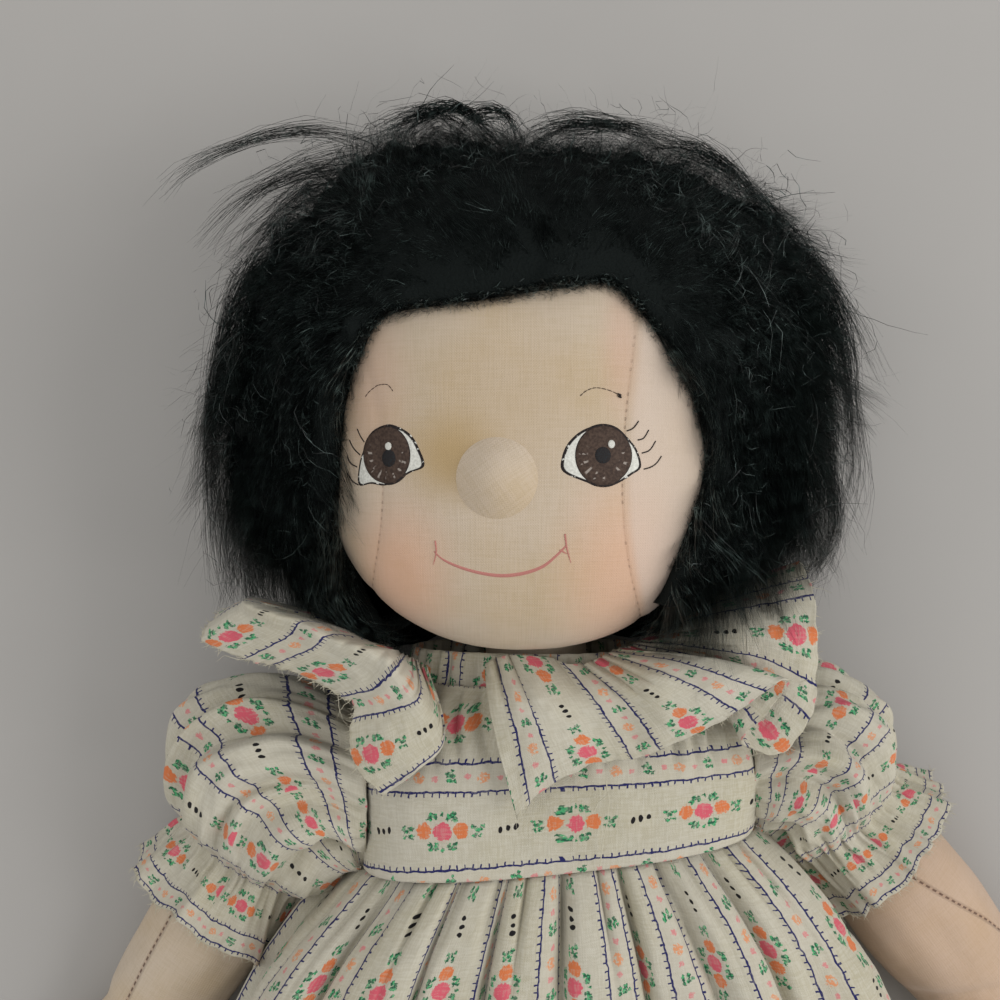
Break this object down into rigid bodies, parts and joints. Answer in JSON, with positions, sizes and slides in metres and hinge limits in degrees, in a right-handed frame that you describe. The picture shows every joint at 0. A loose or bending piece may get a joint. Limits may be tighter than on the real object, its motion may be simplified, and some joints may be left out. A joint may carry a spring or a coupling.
{
  "type": "rag doll",
  "caption": "Stuffed cloth doll with a long dark pile wig, stitched face, gathered print dress with puff sleeves and collar frill, lying on its back.",
  "frame": {"origin": "on the flat back of the dress between the shoulder blades, where the doll lies", "axes": "+Z out of the doll's front, +Y from its feet to its crown, +X towards its own left side"},
  "size_m": [0.319, 0.4524, 0.1122],
  "materials": {
    "skin_cloth": "matte plain-weave cotton",
    "filling": "loose fibre",
    "print_cotton": "matte, printed with stripes of flowers",
    "plain_cotton": "matte",
    "tape": "matte",
    "elastic": "matte, ribbed",
    "fur": "long dark pile with a low sheen",
    "eye_white_thread": "matte stitching",
    "iris_thread": "matte stitching",
    "mouth_thread": "matte stitching"
  },
  "bodies": {
    "torso": {"torso_skin": "skin_cloth", "torso_filling": "filling", "bodice_front": "print_cotton", "bodice_back_right": "print_cotton", "bodice_back_left": "print_cotton", "hook_tape": "tape", "loop_tape": "tape", "neck_band": "print_cotton", "collar_frill_left": "print_cotton", "collar_frill_right": "print_cotton", "left_sleeve": "print_cotton", "right_sleeve": "print_cotton", "skirt": "print_cotton", "drawers": "plain_cotton"},
    "neck": {"neck_stem": "skin_cloth"},
    "head": {"head_skin": "skin_cloth", "head_filling": "filling", "nose": "skin_cloth", "left_eye_white": "eye_white_thread", "left_iris": "iris_thread", "right_eye_white": "eye_white_thread", "right_iris": "iris_thread", "mouth_stitch": "mouth_thread", "wig": "fur"},
    "left_arm": {"left_arm_skin": "skin_cloth", "left_arm_filling": "filling", "left_cuff_elastic": "elastic"},
    "right_arm": {"right_arm_skin": "skin_cloth", "right_arm_filling": "filling", "right_cuff_elastic": "elastic"},
    "lap": {"seat_gusset": "skin_cloth"},
    "left_leg": {"left_leg_skin": "skin_cloth", "left_leg_filling": "filling"},
    "right_leg": {"right_leg_skin": "skin_cloth", "right_leg_filling": "filling"}
  },
  "joints": [
    {"name": "neck_tilt", "type": "hinge", "parent": "torso", "child": "neck", "pos_m": [-0.006, 0.017, 0.04], "axis": [1, 0, 0], "range_deg": [-20, 20], "deforming": ["neck_stem", "neck_band", "collar_frill_left", "collar_frill_right"]},
    {"name": "head_turn", "type": "hinge", "parent": "neck", "child": "head", "pos_m": [-0.006, 0.024, 0.04], "axis": [0, 1, 0], "range_deg": [-45, 45]},
    {"name": "left_arm_raise", "type": "hinge", "parent": "torso", "child": "left_arm", "pos_m": [0.0628, -0.001, 0.0204], "axis": [0, 0, 1], "range_deg": [-6, 70], "deforming": ["left_sleeve", "left_cuff_elastic"]},
    {"name": "right_arm_raise", "type": "hinge", "parent": "torso", "child": "right_arm", "pos_m": [-0.0628, -0.001, 0.0204], "axis": [0, 0, -1], "range_deg": [-4, 75], "deforming": ["right_sleeve", "right_cuff_elastic"]},
    {"name": "hip_fold", "type": "hinge", "parent": "torso", "child": "lap", "pos_m": [0, -0.1386, 0.0215], "axis": [-1, 0, 0], "range_deg": [0, 90], "deforming": ["skirt", "drawers"]},
    {"name": "left_leg_splay", "type": "hinge", "parent": "lap", "child": "left_leg", "pos_m": [0.023, -0.1386, 0.0215], "axis": [0, 0, 1], "range_deg": [0, 25], "deforming": ["skirt", "drawers"]},
    {"name": "right_leg_splay", "type": "hinge", "parent": "lap", "child": "right_leg", "pos_m": [-0.023, -0.1386, 0.0215], "axis": [0, 0, -1], "range_deg": [0, 25], "deforming": ["skirt", "drawers"]}
  ]
}
